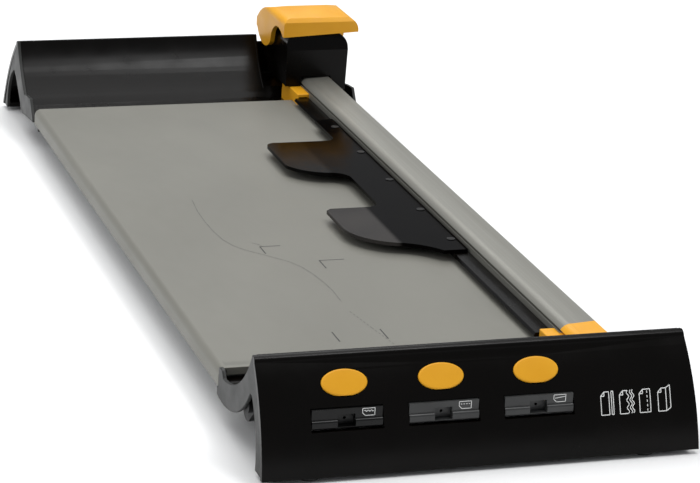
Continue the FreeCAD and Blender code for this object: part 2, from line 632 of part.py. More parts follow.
def rail_bracket(cap, end_y, stub_reach, foot_reach, lobe_reach, seat):
    """Moulded end block: carries on the rail's outline, with a foot and the clamp strip's socket."""
    port_x, port_z = RAIL_PORT
    edge, side = cap["edge"], cap["side"]
    far_y = edge + side * stub_reach
    stub = rail_slice(min(end_y, far_y), max(end_y, far_y))
    foot_x = (RAIL_X[0] - 0.5, MAT_X[0] - 0.6)
    stub = stub.fuse(cap_box(cap, foot_x, (foot_reach, 1.0), (TRAY_FLOOR, RAIL_Z)))
    stub = stub.fuse(cap_box(cap, (RAIL_X[0] + 1.3, foot_x[1]), (foot_reach, abs(end_y - edge)), (0.0, RAIL_Z + 1.0)))
    lobe = cap_box(cap, LOBE_X, lobe_reach, (0.0, 7.0))
    lobe = lobe.makeFillet(0.8, edges_near(lobe, lambda x, y, z: x < LOBE_X[0] + 0.1 and 1 < z < 6))
    lobe = lobe.makeFillet(0.7, edges_near(lobe, lambda x, y, z: z > 6.9 and x < LOBE_X[1] - 0.1))
    lobe = lobe.fuse(cap_box(cap, LOBE_X, (lobe_reach[0], 1.0), (TRAY_FLOOR, 2.0)))
    block = stub.fuse(lobe)
    block = block.cut(cap_box(cap, (PIN_X - 2.9, PIN_X + 2.9), (9.6, lobe_reach[1] - 1), (-0.2, STRIP_Z[1] + 0.4)))
    block = block.cut(rod((PIN_X, edge + side * 5.4, TRAY_FLOOR + 0.8), (0, 0, 1), 2.8, 6.0))
    block = block.cut(rod((PIN_X, edge + side * 5.4, TRAY_FLOOR - 1), (0, 0, 1), 1.5, PIN_L + 1.0))
    for x in BRACKET_SCREW_X:
        block = block.cut(rod((x, edge + side * BRACKET_SCREW_REACH, TRAY_FLOOR - 1), (0, 0, 1), SCREW_HOLE, 7.0))
    seat_y = (edge + side * seat[0], edge + side * seat[1])
    block = block.fuse(box((port_x - 5.4, port_x + 5.4), seat_y, (11.0, 13.2)))
    way = -side
    start = edge + side * (stub_reach + 1.0)
    block = block.cut(rod((port_x, start, port_z), (0, way, 0), SCREW_R + 0.2, 90.0))
    block = block.cut(rod((port_x, start, port_z), (0, way, 0), 3.0, abs(start - end_y) - 8.0))
    return block.removeSplitter()


FRONT_STUB = 44.0
REAR_STUB = POCKET_REACH[1] - LINER
FRONT_SEAT = (28.6, 34.0)
REAR_SEAT = (HEAD_Y[1] - BOARD_L + 0.6, HEAD_Y[1] - BOARD_L + 5.4)


def rail_screws():
    port_x, port_z = RAIL_PORT
    front = screw((port_x, RAIL_Y[0] - 8.0, port_z), (0, 1, 0), SCREW_R, 22.0, 2.8, 1.8)
    rear = screw((port_x, RAIL_Y[1] + 8.0, port_z), (0, -1, 0), SCREW_R, 22.0, 2.8, 1.8)
    return [front, rear]


def bracket_screws():
    """Screws up through each tray into the brackets' feet."""
    screws = []
    for cap in (FRONT, REAR):
        for x in BRACKET_SCREW_X:
            base = (x, cap["edge"] + cap["side"] * BRACKET_SCREW_REACH, TRAY_FLOOR - TRAY_T)
            screws.append(screw(base, (0, 0, 1), SCREW_R, 8.0, 2.6, 1.7))
    return screws


def rail_bumpers():
    """Rubber stops on the brackets, one at each end of the head's travel."""
    port_x = RAIL_PORT[0]
    stops = []
    for cap, seat in ((FRONT, FRONT_SEAT), (REAR, REAR_SEAT)):
        stop = cap_box(cap, (port_x - 5.0, port_x + 5.0), seat, (13.2, 17.2))
        stops.append(stop.makeFillet(0.8, edges_near(stop, lambda x, y, z: z > 17.1)))
    return stops


def clamp_pin_centres():
    return [(PIN_X, FRONT["side"] * 5.4), (PIN_X, BOARD_L + REAR["side"] * 5.4)]


def clamp_guide_pins():
    """Steel pins that the clamp strip's end tabs slide on."""
    return [rod((x, y, TRAY_FLOOR), (0, 0, 1), 1.5, PIN_L) for x, y in clamp_pin_centres()]


SPRING_FLOOR = TRAY_FLOOR + 0.8


def clamp_spring(centre):
    x, y = centre
    return coil(x, y, SPRING_FLOOR + 0.05, STRIP_Z[0] - 0.05, 2.15, 0.35, 5)


def clamp_strip():
    """Full-length strip beside the rail, with a raised lip and a tab at each end for its pin."""
    x0, x1 = STRIP_X
    z0, z1 = STRIP_Z
    strip = along_y(
        STRIP_Y[0], STRIP_Y[1], (x0, z0 + 0.5), (x0 + 0.4, z0), (x1, z0), (x1, z1), (x0 + 1.8, z1), (x0 + 0.9, z1))
    for x, y in clamp_pin_centres():
        near = STRIP_Y[0] if y < 0 else STRIP_Y[1]
        tab = box((x - 2.6, x + 2.6), (near, y + math.copysign(3.6, y - near)), (z0, z0 + 1.7))
        strip = strip.fuse(tab).cut(rod((x, y, z0 - 1), (0, 0, 1), 1.8, 4.0))
    for y in RIVET_Y:
        strip = strip.cut(rod((RIVET_X, y, z0 - 1), (0, 0, 1), 1.5, 4.0))
    return strip.removeSplitter()


RIVET_X = 171.0
RIVET_Y = (152.0, 205.0, 262.0, 318.0, 372.0)


def press_plate():
    """Smoked plate on the strip, with two curved finger wings that reach out over the paper."""
    x1 = STRIP_X[1] - 1.0
    low = STRIP_Z[1]
    plate = along_z(
        low, low + PLATE_T, (x1, 134.0), (161.0, 134.0), ((154.0, 142.5), (143.0, 149.5)),
        ((127.0, 158.5), (117.5, 178.0)), (117.5, 211.0), (120.5, 214.0), (142.0, 214.0),
        ((147.7, 216.3), (150.0, 222.0)), (150.0, 270.0), ((147.0, 277.0), (139.0, 280.5)),
        ((126.0, 287.5), (118.5, 299.0)), (118.5, 338.0), ((120.8, 343.0), (126.0, 344.0)),
        (156.0, 344.0), ((161.0, 346.0), (163.0, 351.0)), (163.0, 388.0), (x1, 390.0))
    for y in RIVET_Y:
        plate = plate.cut(rod((RIVET_X, y, low - 1), (0, 0, 1), 1.5, 4.0))
    return plate


def plate_rivets():
    rivets = []
    for y in RIVET_Y:
        shank = rod((RIVET_X, y, STRIP_Z[0]), (0, 0, 1), 1.45, STRIP_Z[1] - STRIP_Z[0] + PLATE_T)
        head = rod((RIVET_X, y, STRIP_Z[1] + PLATE_T), (0, 0, 1), 2.4, 0.35)
        rivets.append(shank.fuse(head))
    return rivets


def clamp_pad():
    """Rubber strip under the clamp that grips the paper."""
    return box((STRIP_X[0] + 1.0, STRIP_X[1] - 1.0), (STRIP_Y[0] + 1.0, STRIP_Y[1] - 1.0), (STRIP_Z[0] - 0.6, STRIP_Z[0]))


# ---- cutting head ----
CREASE_Z = 31.0
SLIDER_Z = (36.7, 38.2)
POST_Y = (HEAD_MID_Y - 14.0, HEAD_MID_Y + 8.0)
POST_X = 181.0
POST_TOP = 46.0
DECK_Z = (15.2, 17.2)


def head_outline(inset):
    """Section of the head's hood, drawn inwards by an inset."""
    x0 = HEAD_X[0] + inset
    x1 = HEAD_X[1] - inset
    top = HEAD_TOP - inset
    round_l = 7.0 - inset
    round_r = 9.0 - inset
    corner = math.sqrt(0.5)
    low_l = HEAD_LEFT_Z - (1.0 if inset else 0.0)
    low_r = HEAD_RIGHT_Z - (1.0 if inset else 0.0)
    mid_x = 185.0
    return (
        (x0, low_l), (mid_x, low_l), (mid_x, low_r), (x1 - 1.0, low_r), (x1, CREASE_Z),
        (x1, top - round_r),
        ((x1 - round_r * (1 - corner), top - round_r * (1 - corner)), (x1 - round_r, top)),
        (x0 + round_l, top),
        ((x0 + round_l * (1 - corner), top - round_l * (1 - corner)), (x0, top - round_l)))


def head_housing():
    """Hood over the rail: its upper front leans back above a crease, and its ends pass the rail."""
    y0, y1 = HEAD_Y
    hood = along_y(y0, y1, *head_outline(0.0))
    lean = along_x(HEAD_X[0] - 1, HEAD_X[1] + 1, (y0 - 1, CREASE_Z), (y0, CREASE_Z), (y0 + 3.0, HEAD_TOP + 1), (y0 - 1, HEAD_TOP + 1))
    back = along_x(HEAD_X[0] - 1, HEAD_X[1] + 1, (y1 - 13.0, HEAD_TOP + 0.1), (y1 + 1, 35.8), (y1 + 1, HEAD_TOP + 0.1))
    hood = hood.cut(lean).cut(back)
    room = along_y(y0 + HEAD_WALL + 1.0, y1 - HEAD_WALL, *head_outline(HEAD_WALL))
    back.translate(Vector(0, -0.8, -HEAD_WALL))
    hood = hood.cut(room.cut(back))
    passage = box((RAIL_X[0] - 0.8, RAIL_X[1] + 0.8), (y0 - 1, y1 + 1), (-5.0, RAIL_TOP + 0.7))
    hood = hood.cut(passage)
    deck = box((HEAD_X[0] + HEAD_WALL - 0.2, RAIL_X[1] - 0.8), (y0 + 1, y1 - 1), DECK_Z)
    hood = hood.fuse(deck)
    for y in POST_Y:
        hood = hood.cut(rod((POST_X, y, HEAD_TOP - 5), (0, 0, 1), 3.3, 10.0))
    return hood.removeSplitter()


def glide_left():
    """Nylon shoe that runs in the rail's left groove."""
    y = (HEAD_Y[0] + 3.4, HEAD_Y[1] - 2.4)
    shoe = box((HEAD_X[0] + HEAD_WALL + 0.1, RAIL_X[0] - GAP), y, (HEAD_LEFT_Z, DECK_Z[0]))
    tongue = box((RAIL_X[0] - 0.5, RAIL_X[0] + GROOVE_D - GAP), y, (GROOVE_Z[0] + GAP, GROOVE_Z[1] - GAP))
    return shoe.fuse(tongue)


def glide_right():
    """Two short nylon shoes in the rail's right groove, before and behind the cartridge."""
    shoes = []
    for y in ((HEAD_Y[0] + 3.4, HEAD_MID_Y - CART_HALF - 2.2), (HEAD_MID_Y + CART_HALF + 2.2, HEAD_Y[1] - 2.4)):
        shoe = box((RAIL_X[1] + GAP, HEAD_X[1] - HEAD_WALL - 1.2), y, (HEAD_RIGHT_Z + 0.5, 14.0))
        tongue = box((RAIL_X[1] - GROOVE_D + GAP, RAIL_X[1] + 0.5), y, (GROOVE_Z[0] + GAP, GROOVE_Z[1] - GAP))
        shoes.append(shoe.fuse(tongue))
    return shoes


def glide_top():
    """Nylon pad under the deck that rides on top of the rail."""
    y = (HEAD_Y[0] + 3.4, HEAD_Y[1] - 2.4)
    pad = box((RAIL_X[0] + 3.0, RAIL_X[1] - 2.0), y, (RAIL_TOP + GAP, DECK_Z[0]))
    return pad


def press_slider():
    """Frame under the handle: it holds the cartridge and moves down with it."""
    low, high = SLIDER_Z
    front = HEAD_MID_Y - CART_HALF - 1.7
    rear = HEAD_MID_Y + CART_HALF + 1.7
    frame = box((POST_X - 8.0, CUT_X + 3.6), (front, POST_Y[1] + 4.5), (low, high))
    frame = frame.fuse(box((CUT_X - 1.6, CUT_X + 4.4), (front, front + 1.5), (20.6, low + 0.5)))
    frame = frame.fuse(box((CUT_X - 6.4, CUT_X - 3.6), (POST_Y[1], rear), (30.0, 35.4)))
    frame = frame.fuse(box((CUT_X - 6.4, CUT_X - 3.6), (POST_Y[1], POST_Y[1] + 4.5), (30.0, low + 0.5)))
    frame = frame.fuse(box((CUT_X - 6.4, CUT_X + 4.4), (rear - 1.5, rear), (20.6, 35.4)))
    for y in POST_Y:
        frame = frame.fuse(rod((POST_X, y, low), (0, 0, 1), 3.0, POST_TOP - low))
    key = box((CUT_X - 1.2, CUT_X + 3.2), (HEAD_MID_Y - 4.4, HEAD_MID_Y + 3.6), (low - 2.4, low + 1))
    return frame.fuse(key).removeSplitter()


def handle_spring(y):
    """Coil round each post's foot that lifts the handle again."""
    return coil(POST_X, y, DECK_Z[1] + 0.05, SLIDER_Z[0] - 0.05, 3.6, 0.5, 6)


HANDLE_X = (161.5, 211.5)
HANDLE_Y = (459.5, 524.5)
HANDLE_WALL = 3.0
BAND_TILT = 3.0        # degrees that the grip's lower edge rises to the right


def handle_body(inset):
    """Crowned block of the handle, drawn inwards by an inset."""
    x0 = HANDLE_X[0] + inset
    x1 = HANDLE_X[1] - inset
    y0 = HANDLE_Y[0] + inset
    y1 = HANDLE_Y[1] - inset
    low = 15.0
    across = along_y(
        y0, y1, (x0, low), (x1, low), (x1, 45.5 - 0.5 * inset),
        ((x1 - 2.4, 50.6 - 0.8 * inset), (x1 - 8.0, 53.4 - inset)),
        ((0.5 * (x0 + x1) - 2.0, 56.2 - inset), (x0 + 4.0, 53.0 - inset)),
        ((x0 + 1.2, 51.2 - 0.8 * inset), (x0, 48.3 - 0.5 * inset)))
    lengthways = along_x(
        x0, x1, (y0, low), (y0, 50.6 - 0.8 * inset), (y0 + 2.0, 53.2 - inset),
        ((y0 + 16.0, 56.2 - inset), (y0 + 37.0, 51.6 - inset)),
        ((y1 - 12.0, 47.2 - 0.8 * inset), (y1, 38.5)), (y1, low))
    return across.common(lengthways)


def handle():
    """Saddle-shaped hand grip: a front band, an arch in each side and a lobe behind it."""
    y0, y1 = HANDLE_Y
    grip = handle_body(0.0).cut(handle_body(HANDLE_WALL))
    below = along_x(
        HANDLE_X[0] - 9, HANDLE_X[1] + 9, (y0 - 5, 0.0), (y0 - 5, 41.0), (y0 + 3.5, 41.0),
        ((y0 + 15.0, 44.6), (y0 + 29.0, 37.5)), (y0 + 31.5, 30.5),
        ((y0 + 44.0, 24.9), (y1 - 2.0, 33.0)), (y1 + 5, 34.0), (y1 + 5, 0.0))
    below.rotate(Vector(HANDLE_X[0], 0, 41.2), Vector(0, 1, 0), -BAND_TILT)
    grip = grip.cut(below)
    for y in POST_Y:
        boss = rod((POST_X, y, POST_TOP - 0.9), (0, 0, 1), 4.6, 9.0).common(handle_body(1.0))
        grip = grip.fuse(boss).cut(rod((POST_X, y, 30.0), (0, 0, 1), 3.05, POST_TOP + 0.1 - 30.0))
    return grip.removeSplitter()


# ---- write every node ----
save("base_board", base_board())
save("left_stiffener", left_stiffener())
save("cross_braces", *cross_braces())
save("cutting_beam", cutting_beam())
save("cutting_mat", cutting_mat())
save("beam_screws", *beam_screws())

NOTCH = pocket_space(0.05)
TRAY_PORTS = [rod((x, -5.0, BOSS_Z), (0, 1, 0), SCREW_HOLE, BOARD_L + 10.0)
              for x in BEAM_BOSSES + (0.5 * (STIFFENER_X[0] + STIFFENER_X[1]),)]
for cap in (FRONT, REAR):
    for x in BRACKET_SCREW_X:
        y = cap["edge"] + cap["side"] * BRACKET_SCREW_REACH
        TRAY_PORTS.append(rod((x, y, TRAY_FLOOR - TRAY_T - 1), (0, 0, 1), SCREW_HOLE, TRAY_T + 2))
FRONT_BRACKET = rail_bracket(FRONT, RAIL_Y[0], FRONT_STUB, 14.0, (14.0, -8.0), FRONT_SEAT).cut(
    cap_tray(FRONT).fuse(cap_fascia(FRONT)))
FRONT_BRACKET = max(FRONT_BRACKET.Solids, key=lambda solid: solid.Volume)
REAR_BRACKET = rail_bracket(REAR, RAIL_Y[1], REAR_STUB, 26.0, (24.0, -12.0), REAR_SEAT)

save("front_fascia", front_fascia())
save("front_tray", cap_tray(FRONT).cut(Part.makeCompound(TRAY_PORTS)))
save("front_end_left", end_plate(FRONT, 0.0))
save("front_end_right", end_plate(FRONT, RIGHT_PLATE))
save("rear_fascia", with_foot_holes(cap_fascia(REAR)).cut(NOTCH))
REAR_CORNER = box((-1.0, 14.0), (BOARD_L, BOARD_L + NEAR_WALL + 0.3), (NEAR_Z - 1.0, -10.4))
save("rear_tray", cap_tray(REAR).cut(Part.makeCompound(TRAY_PORTS)).cut(NOTCH).cut(REAR_CORNER))
save("rear_end_left", end_plate(REAR, 0.0))
save("rear_end_right", end_plate(REAR, RIGHT_PLATE))
save("parking_pocket", parking_pocket())
save("rubber_feet", *rubber_feet())
save("cartridge_dock", cartridge_dock())

save("guide_rail", guide_rail())
save("rail_bracket_front", FRONT_BRACKET)
save("rail_bracket_rear", REAR_BRACKET)
save("rail_screws", *rail_screws())
save("bracket_screws", *bracket_screws())
save("rail_bumpers", *rail_bumpers())

save("clamp_strip", clamp_strip())
save("press_plate", press_plate())
save("plate_rivets", *plate_rivets())
save("clamp_pad", clamp_pad())
save("clamp_guide_pins", *clamp_guide_pins())
for name, centre in zip(("clamp_spring_front", "clamp_spring_rear"), clamp_pin_centres()):
    save(name, clamp_spring(centre))

save("head_housing", head_housing())
save("glide_left", glide_left())
save("glide_right", *glide_right())
save("glide_top", glide_top())
save("handle", handle())
save("press_slider", press_slider())
for name, y in zip(("handle_spring_front", "handle_spring_rear"), POST_Y):
    save(name, handle_spring(y))
save("cutting_cartridge", in_head(cartridge_housing()))
save("cutting_blade", in_head(straight_blade()))
save("cutting_axle", in_head(blade_axle()))

STORED = (
    ("wave", wave_blade, BLADE_T),
    ("perforating", perforating_blade, BLADE_T),
    ("creasing", creasing_wheel, CREASE_T))
for x, (kind, wheel, thickness) in zip(BAY_X, STORED):
    save(kind + "_cartridge", stored(cartridge_housing(), x))
    save(kind + "_wheel", stored(wheel(), x))
    save(kind + "_axle", stored(blade_axle(thickness), x))
    save(kind + "_button", release_button(x))
    save(kind + "_ejector", ejector_sled(x))
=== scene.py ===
import json
import math
import bmesh
import bpy
import numpy as np
from mathutils import Matrix, Vector

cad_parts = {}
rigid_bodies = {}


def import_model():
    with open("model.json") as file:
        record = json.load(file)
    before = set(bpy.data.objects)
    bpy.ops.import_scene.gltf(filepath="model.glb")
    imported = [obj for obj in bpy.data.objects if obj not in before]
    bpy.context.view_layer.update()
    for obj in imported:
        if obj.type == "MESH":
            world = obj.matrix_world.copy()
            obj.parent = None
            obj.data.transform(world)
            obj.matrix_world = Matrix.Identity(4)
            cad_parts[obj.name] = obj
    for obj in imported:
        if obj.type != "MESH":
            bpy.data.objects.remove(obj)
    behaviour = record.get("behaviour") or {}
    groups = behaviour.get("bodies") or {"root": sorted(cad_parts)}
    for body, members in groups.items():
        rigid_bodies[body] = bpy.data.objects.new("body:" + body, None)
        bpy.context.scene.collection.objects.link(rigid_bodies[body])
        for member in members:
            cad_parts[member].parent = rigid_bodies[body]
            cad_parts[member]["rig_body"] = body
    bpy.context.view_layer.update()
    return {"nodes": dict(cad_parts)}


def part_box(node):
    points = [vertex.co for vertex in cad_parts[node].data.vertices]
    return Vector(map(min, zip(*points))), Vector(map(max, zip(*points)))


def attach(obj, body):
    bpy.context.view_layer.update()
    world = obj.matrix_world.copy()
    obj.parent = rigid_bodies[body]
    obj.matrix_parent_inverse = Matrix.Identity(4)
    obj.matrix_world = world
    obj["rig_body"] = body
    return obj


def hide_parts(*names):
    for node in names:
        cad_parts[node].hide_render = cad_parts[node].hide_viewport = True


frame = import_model()

# ---------------------------------------------------------------------------------------------
# Sheet board: one folded sheet of steel, powder coated grey, with a soft bend down its left side.
# It lies on the trays' near walls, and its paint has a fine speckle and a faint cloudiness.
# ---------------------------------------------------------------------------------------------
board_low, board_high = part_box("base_board")
corner = np.array([board_low.x, board_low.y, board_high.z])
MM = 0.001
WELD = 2e-6
FLAT = 0.3
BEVEL_STEPS = 3


def placed(points):
    """Millimetres from the board's front left corner at its top face, as the frame's metres."""
    return np.asarray(points, float) * MM + corner


def paint(code, share=1.0):
    """A hex colour as linear red, green, blue and alpha, darkened or lightened by a share."""
    values = np.array([int(code[i:i + 2], 16) for i in (1, 3, 5)]) / 255
    linear = np.where(values <= 0.04045, values / 12.92, ((values + 0.055) / 1.055) ** 2.4)
    return tuple(np.clip(linear * share, 0, 1)) + (1.0,)


def detail_group(name, layers):
    """A node group of noise layers on Object coordinates; each layer is an output from 0 to 1.

    A layer is (output, scale along x, y and z per metre, noise detail, low edge, high edge), and the
    noise between the two edges is stretched to 0 and 1."""
    group = bpy.data.node_groups.new(name, "ShaderNodeTree")
    group.interface.new_socket("Size", in_out="INPUT", socket_type="NodeSocketFloat").default_value = 1.0
    source = group.nodes.new("NodeGroupInput")
    sink = group.nodes.new("NodeGroupOutput")
    where = group.nodes.new("ShaderNodeTexCoord")
    grow = group.nodes.new("ShaderNodeVectorMath")
    grow.operation = "SCALE"
    group.links.new(where.outputs["Object"], grow.inputs[0])
    group.links.new(source.outputs["Size"], grow.inputs["Scale"])
    for output, scale, depth, low, high in layers:
        group.interface.new_socket(output, in_out="OUTPUT", socket_type="NodeSocketFloat")
        stretch = group.nodes.new("ShaderNodeMapping")
        stretch.inputs["Scale"].default_value = scale
        noise = group.nodes.new("ShaderNodeTexNoise")
        noise.inputs["Scale"].default_value = 1.0
        noise.inputs["Detail"].default_value = depth
        ramp = group.nodes.new("ShaderNodeMapRange")
        ramp.inputs["From Min"].default_value = low
        ramp.inputs["From Max"].default_value = high
        group.links.new(grow.outputs[0], stretch.inputs["Vector"])
        group.links.new(stretch.outputs[0], noise.inputs["Vector"])
        group.links.new(noise.outputs["Fac"], ramp.inputs["Value"])
        group.links.new(ramp.outputs[0], sink.inputs[output])
    return group


def surface(name, group, size, colours, rough, bump, metallic=0.0, **sockets):
    """A Principled material with the group's detail.

    Colour follows its Cloud, roughness its Smudge and the normal its Grain."""
    material = bpy.data.materials.new(name)
    material.use_nodes = True
    nodes, links = material.node_tree.nodes, material.node_tree.links
    shader = nodes["Principled BSDF"]
    detail = nodes.new("ShaderNodeGroup")
    detail.node_tree = group
    detail.inputs["Size"].default_value = size
    blend = nodes.new("ShaderNodeMix")
    blend.data_type = "RGBA"
    blend.inputs["A"].default_value = colours[0]
    blend.inputs["B"].default_value = colours[1]
    gloss = nodes.new("ShaderNodeMapRange")
    gloss.inputs["To Min"].default_value = rough[0]
    gloss.inputs["To Max"].default_value = rough[1]
    relief = nodes.new("ShaderNodeBump")
    relief.inputs["Strength"].default_value = bump[0]
    relief.inputs["Distance"].default_value = bump[1]
    links.new(detail.outputs["Cloud"], blend.inputs["Factor"])
    links.new(detail.outputs["Smudge"], gloss.inputs["Value"])
    links.new(detail.outputs["Grain"], relief.inputs["Height"])
    links.new(blend.outputs["Result"], shader.inputs["Base Color"])
    links.new(gloss.outputs[0], shader.inputs["Roughness"])
    links.new(relief.outputs[0], shader.inputs["Normal"])
    shader.inputs["Metallic"].default_value = metallic
    for socket, value in sockets.items():
        shader.inputs[socket.replace("_", " ")].default_value = value
    return material


def dressed(node, material, bevel=0.0003, bend=30, soft=None):
    """A CAD node with its triangles joined into whole faces, its curves smooth and its edges rounded.

    Points closer than WELD are merged, faces flatter than FLAT degrees are joined, and a bevel rounds
    each edge over the bend.  Soft is a function of an edge's middle, in the board's millimetres, that
    gives the share of the bevel's width there."""
    source = frame["nodes"][node]
    mesh = bpy.data.meshes.new(node + "_finish")
    whole = bmesh.new()
    whole.from_mesh(source.data)
    bmesh.ops.remove_doubles(whole, verts=whole.verts, dist=WELD)
    bmesh.ops.dissolve_limit(whole, angle_limit=math.radians(FLAT), verts=whole.verts, edges=whole.edges)
    if soft:
        weight = whole.edges.layers.float.new("bevel_weight_edge")
        for edge in whole.edges:
            middle = (np.array((edge.verts[0].co + edge.verts[1].co) * 0.5) - corner) / MM
            if edge.calc_face_angle(0) > math.radians(bend):
                edge[weight] = soft(*middle)
    whole.to_mesh(mesh)
    whole.free()
    mesh.materials.clear()
    mesh.materials.append(material)
    mesh.polygons.foreach_set("use_smooth", np.ones(len(mesh.polygons), bool))
    mesh.set_sharp_from_angle(angle=math.radians(bend))
    piece = bpy.data.objects.new(node + "_finish", mesh)
    bpy.context.scene.collection.objects.link(piece)
    if bevel:
        rounding = piece.modifiers.new("edges", "BEVEL")
        rounding.width = bevel
        rounding.segments = BEVEL_STEPS
        rounding.limit_method = "WEIGHT" if soft else "ANGLE"
        rounding.angle_limit = math.radians(bend)
        rounding.harden_normals = True
    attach(piece, source["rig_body"])
    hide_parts(node)
    return piece


powder = detail_group("Powder coat", (
    ("Cloud", (14, 9, 14), 3, 0.3, 0.7),
    ("Smudge", (30, 18, 30), 2, 0.3, 0.7),
    ("Grain", (2600, 2600, 2600), 1, 0.3, 0.7)))
board_paint = surface(
    "board_grey", powder, 1.0, (paint("#72716A"), paint("#7A7972")), (0.42, 0.54), (0.12, 0.00004),
    metallic=0.1, Specular_IOR_Level=0.22)
dressed("base_board", board_paint, 0.0004)

# ---------------------------------------------------------------------------------------------
# Format marks: black and grey ink, screen printed on the board before it is fitted.  Corners and ticks
# give the 4 inch, 5 inch and 148 mm cuts, with a fine scale at the front edge and a sweeping curve.
# ---------------------------------------------------------------------------------------------
INK_LIFT = 0.06


def ribbon(points, width):
    """A flat strip along a polyline: each point is moved half the width to either side of its tangent."""
    line = np.asarray(points, float)
    tangent = np.gradient(line, axis=0)
    tangent /= np.linalg.norm(tangent, axis=1)[:, None]
    side = np.stack([-tangent[:, 1], tangent[:, 0]], axis=1) * 0.5 * width
    return np.concatenate([line + side, line - side])


def strips(name, lines, width, lay, material, body):
    """Several ribbons as one mesh; lay turns their flat (across, along) points into (x, y, z)."""
    verts, faces, start = [], [], 0
    for line in lines:
        flat = ribbon(line, width)
        count = len(flat) // 2
        index = np.arange(count - 1) + start
        faces.append(np.stack([index + count, index + count + 1, index + 1, index], axis=1))
        verts.append(lay(flat))
        start += len(flat)
    mesh = bpy.data.meshes.new(name)
    mesh.from_pydata(placed(np.concatenate(verts)).tolist(), [], np.concatenate(faces).tolist())
    mesh.materials.append(material)
    piece = bpy.data.objects.new(name, mesh)
    bpy.context.scene.collection.objects.link(piece)
    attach(piece, body)
    return piece


def on_board(flat):
    """Board points (x, y) lifted by the ink's thickness."""
    return np.column_stack([flat, np.full(len(flat), INK_LIFT)])


def dashes(line, pieces):
    """The odd ones of a straight line's equal pieces."""
    ends = np.linspace(line[0], line[1], 2 * pieces)
    return [ends[i:i + 2] for i in range(0, 2 * pieces, 2)]


ink_skin = detail_group("Printed ink", (
    ("Cloud", (900, 900, 900), 2, 0.35, 0.65),
    ("Smudge", (300, 300, 300), 2, 0.3, 0.7),
    ("Grain", (4000, 4000, 4000), 1, 0.3, 0.7)))
INK_ROUGH = (0.5, 0.65)
INK_BUMP = (0.05, 0.00001)
dark_ink = surface("dark_ink", ink_skin, 1.0, (paint("#141412"), paint("#2A2A26")), INK_ROUGH, INK_BUMP)
pale_ink = surface("pale_ink", ink_skin, 1.0, (paint("#4E4E49"), paint("#5E5E58")), INK_ROUGH, INK_BUMP)
CORNER_WIDTH = 0.7
LINE_WIDTH = 0.45
TICK_WIDTH = 0.25
TICK_START, TICK_END, FIFTH_TICK_END = 3.0, 7.0, 8.5
dark_marks = [
    [(69.0, 25.0), (69.0, 39.0)], [(94.4, 25.0), (94.4, 39.0)],
    [(68.7, 162.4), (68.7, 174.4)], [(68.7, 174.4), (80.2, 174.4)],
    [(94.4, 133.9), (94.4, 146.9)], [(94.4, 146.9), (108.4, 146.9)]]
strips("format_corners", dark_marks, CORNER_WIDTH, on_board, dark_ink, "base")
swing_line = [
    (52.4, 261.4), (50.3, 240.0), (49.8, 221.1), (50.2, 204.0), (51.7, 188.8), (54.6, 178.5), (59.2, 170.4),
    (68.9, 158.6), (78.0, 147.1), (81.9, 138.0), (84.6, 126.6), (86.6, 112.0), (87.5, 98.3), (87.0, 82.0)]
swing_end = [(87.0, 66.4), (90.9, 41.2), (94.8, 17.2)]
pale_marks = [swing_line, [(66.0, 181.0), (68.5, 178.8), (70.0, 176.0)]]
pale_marks += dashes(swing_end[:2], 7) + dashes(swing_end[1:], 7)
strips("format_lines", pale_marks, LINE_WIDTH, on_board, pale_ink, "base")
scale_marks = [[(x, TICK_START), (x, TICK_END if i % 5 else FIFTH_TICK_END)]
               for i, x in enumerate(np.arange(4.5, 188.0, 1.0))]
strips("front_scale", scale_marks, TICK_WIDTH, on_board, pale_ink, "base")

# ---------------------------------------------------------------------------------------------
# Frame under the board: a zinc plated channel and three cross braces, and an aluminium extrusion that
# carries the soft cutting strip.  Steel screws go through the trays into the beam's ports.
# ---------------------------------------------------------------------------------------------
drawn = detail_group("Drawn metal", (
    ("Cloud", (90, 3, 90), 3, 0.3, 0.7),
    ("Smudge", (700, 6, 700), 3, 0.3, 0.7),
    ("Grain", (5200, 24, 5200), 2, 0.3, 0.7)))
rolled = detail_group("Rolled steel", (
    ("Cloud", (160, 160, 160), 4, 0.35, 0.65),
    ("Smudge", (900, 900, 900), 2, 0.3, 0.7),
    ("Grain", (3200, 3200, 600), 2, 0.3, 0.7)))
zinc = surface(
    "zinc_plate", rolled, 1.0, (paint("#8F9290"), paint("#B3B6B2")), (0.3, 0.45), (0.06, 0.00002), 1.0)
bare_steel = surface(
    "bare_steel", rolled, 2.0, (paint("#A9ABAD"), paint("#CDD0D2")), (0.2, 0.34), (0.05, 0.00001), 1.0)
anodised = surface(
    "anodised_aluminium", drawn, 1.0, (paint("#787770"), paint("#87867F")), (0.40, 0.52), (0.10, 0.00002),
    0.5)
moulded = detail_group("Moulding skin", (
    ("Cloud", (26, 26, 26), 3, 0.35, 0.7),
    ("Smudge", (55, 40, 55), 3, 0.3, 0.75),
    ("Grain", (420, 420, 420), 2, 0.3, 0.7)))
spark = detail_group("Spark texture", (
    ("Cloud", (60, 60, 60), 3, 0.35, 0.7),
    ("Smudge", (90, 90, 90), 3, 0.3, 0.75),
    ("Grain", (2600, 2600, 2600), 2, 0.3, 0.7)))
mat_black = surface(
    "cutting_strip", spark, 1.0, (paint("#1C1F1E"), paint("#2C302E")), (0.5, 0.65), (0.2, 0.00005))
for node in ("left_stiffener", "cross_braces"):
    dressed(node, zinc, 0.0004)
dressed("cutting_beam", anodised, 0.0003)
dressed("cutting_mat", mat_black, 0.0002)
for node in ("beam_screws", "bracket_screws", "rail_screws"):
    dressed(node, bare_steel, 0.0001)

